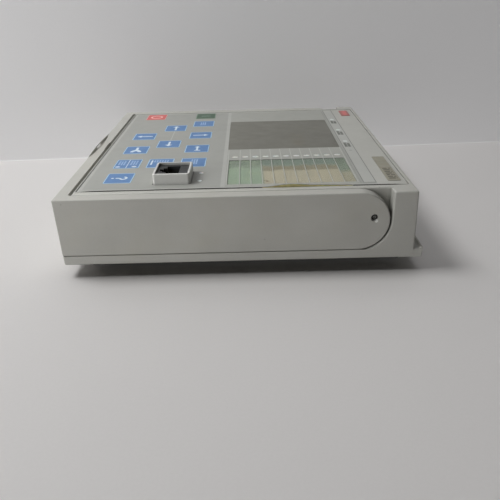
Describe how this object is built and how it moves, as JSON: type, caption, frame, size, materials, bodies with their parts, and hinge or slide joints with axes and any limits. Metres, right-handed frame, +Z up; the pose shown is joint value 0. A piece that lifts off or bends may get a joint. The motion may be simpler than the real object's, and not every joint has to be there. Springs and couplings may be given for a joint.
{
  "type": "ecg machine",
  "caption": "Flat desk-top ward instrument with a display, a membrane keypad, a row of indicator lamps, a raised service socket and a U-handle that swings up.",
  "frame": {"origin": "centre of the footprint (handle crossbar to rear lip, near arm to far arm) on the plane the four feet stand on", "axes": "+Z up; -X the user's side, where the handle's crossbar lies; +X the rear lip with the sockets; +Y to the user's left (the user faces +X), so the service socket is at the -Y side"},
  "size_m": [0.1802, 0.181, 0.0475],
  "materials": {
    "housing_plastic": "fine spark-eroded texture, light warm grey",
    "handle_plastic": "fine spark-eroded texture, light warm grey",
    "cover_plastic": "textured, dark grey",
    "overlay_film": "fine velvet polyester film",
    "key_blue": "printed film, satin",
    "key_red": "printed film, satin",
    "key_green": "printed film, satin",
    "display_pane": "smoked display window",
    "label_pane": "clear film window",
    "label_card": "printed card",
    "lamp_plastic": "diffusing white plastic",
    "socket_black": "moulded black",
    "board_green": "solder-masked circuit board",
    "display_frame": "display module frame",
    "shield_steel": "tinned steel",
    "ribbon_grey": "flat cable",
    "foam_black": "closed-cell foam",
    "foot_rubber": "moulded rubber",
    "screw_steel": "zinc-plated",
    "pin_steel": "turned steel",
    "bush_plastic": "acetal",
    "badge_red": "plain red label",
    "plate_beige": "plain label, no lettering"
  },
  "bodies": {
    "case": {"main_housing": "housing_plastic", "socket_collar": "housing_plastic", "rear_cover": "cover_plastic", "overlay_sheet": "overlay_film", "display_window": "display_pane", "lamp_label_window": "label_pane", "lamp_label_card": "label_card", "indicator_light_guide": "lamp_plastic", "status_light_guide": "lamp_plastic", "port_light_guide": "lamp_plastic", "socket_insert": "socket_black", "lead_socket": "socket_black", "power_socket": "socket_black", "main_board": "board_green", "keypad_board": "board_green", "indicator_board": "board_green", "input_board": "board_green", "power_board": "board_green", "display_module": "display_frame", "input_shield": "shield_steel", "backup_cell": "shield_steel", "keypad_ribbon": "ribbon_grey", "display_ribbon": "ribbon_grey", "display_gasket": "foam_black", "foot_1": "foot_rubber", "foot_2": "foot_rubber", "foot_3": "foot_rubber", "foot_4": "foot_rubber", "case_screw_1": "screw_steel", "case_screw_2": "screw_steel", "case_screw_3": "screw_steel", "case_screw_4": "screw_steel", "pivot_pin_near": "pin_steel", "pivot_pin_far": "pin_steel", "corner_badge": "badge_red", "type_plate": "plate_beige"},
    "handle": {"handle": "handle_plastic", "pivot_bush_near": "bush_plastic", "pivot_bush_far": "bush_plastic", "stop_pin_near": "pin_steel", "stop_pin_far": "pin_steel"},
    "key_off": {"key_off": "key_red"},
    "key_on": {"key_on": "key_green"},
    "key_display": {"key_display": "key_blue"},
    "key_arrow_left": {"key_arrow_left": "key_blue"},
    "key_arrow_down": {"key_arrow_down": "key_blue"},
    "key_arrow_up": {"key_arrow_up": "key_blue"},
    "key_arrow_right": {"key_arrow_right": "key_blue"},
    "key_clear": {"key_clear": "key_blue"},
    "key_back": {"key_back": "key_blue"},
    "key_mode": {"key_mode": "key_blue"},
    "key_menu": {"key_menu": "key_blue"},
    "key_enter": {"key_enter": "key_blue"},
    "key_help": {"key_help": "key_blue"}
  },
  "joints": [
    {"name": "handle_swing", "type": "hinge", "parent": "case", "child": "handle", "pos_m": [0.0576, 0, 0.02705], "axis": [0, 1, 0], "range_deg": [0, 90]},
    {"name": "key_off_press", "type": "slide", "parent": "case", "child": "key_off", "axis": [0, 0, -1], "range_m": [0, 0.00045], "stiffness_N_per_m": 150, "springref_m": -0.0006},
    {"name": "key_on_press", "type": "slide", "parent": "case", "child": "key_on", "axis": [0, 0, -1], "range_m": [0, 0.00045], "stiffness_N_per_m": 150, "springref_m": -0.0006},
    {"name": "key_display_press", "type": "slide", "parent": "case", "child": "key_display", "axis": [0, 0, -1], "range_m": [0, 0.00045], "stiffness_N_per_m": 150, "springref_m": -0.0006},
    {"name": "key_arrow_left_press", "type": "slide", "parent": "case", "child": "key_arrow_left", "axis": [0, 0, -1], "range_m": [0, 0.00045], "stiffness_N_per_m": 150, "springref_m": -0.0006},
    {"name": "key_arrow_down_press", "type": "slide", "parent": "case", "child": "key_arrow_down", "axis": [0, 0, -1], "range_m": [0, 0.00045], "stiffness_N_per_m": 150, "springref_m": -0.0006},
    {"name": "key_arrow_up_press", "type": "slide", "parent": "case", "child": "key_arrow_up", "axis": [0, 0, -1], "range_m": [0, 0.00045], "stiffness_N_per_m": 150, "springref_m": -0.0006},
    {"name": "key_arrow_right_press", "type": "slide", "parent": "case", "child": "key_arrow_right", "axis": [0, 0, -1], "range_m": [0, 0.00045], "stiffness_N_per_m": 150, "springref_m": -0.0006},
    {"name": "key_clear_press", "type": "slide", "parent": "case", "child": "key_clear", "axis": [0, 0, -1], "range_m": [0, 0.00045], "stiffness_N_per_m": 150, "springref_m": -0.0006},
    {"name": "key_back_press", "type": "slide", "parent": "case", "child": "key_back", "axis": [0, 0, -1], "range_m": [0, 0.00045], "stiffness_N_per_m": 150, "springref_m": -0.0006},
    {"name": "key_mode_press", "type": "slide", "parent": "case", "child": "key_mode", "axis": [0, 0, -1], "range_m": [0, 0.00045], "stiffness_N_per_m": 150, "springref_m": -0.0006},
    {"name": "key_menu_press", "type": "slide", "parent": "case", "child": "key_menu", "axis": [0, 0, -1], "range_m": [0, 0.00045], "stiffness_N_per_m": 150, "springref_m": -0.0006},
    {"name": "key_enter_press", "type": "slide", "parent": "case", "child": "key_enter", "axis": [0, 0, -1], "range_m": [0, 0.00045], "stiffness_N_per_m": 150, "springref_m": -0.0006},
    {"name": "key_help_press", "type": "slide", "parent": "case", "child": "key_help", "axis": [0, 0, -1], "range_m": [0, 0.00045], "stiffness_N_per_m": 150, "springref_m": -0.0006}
  ]
}
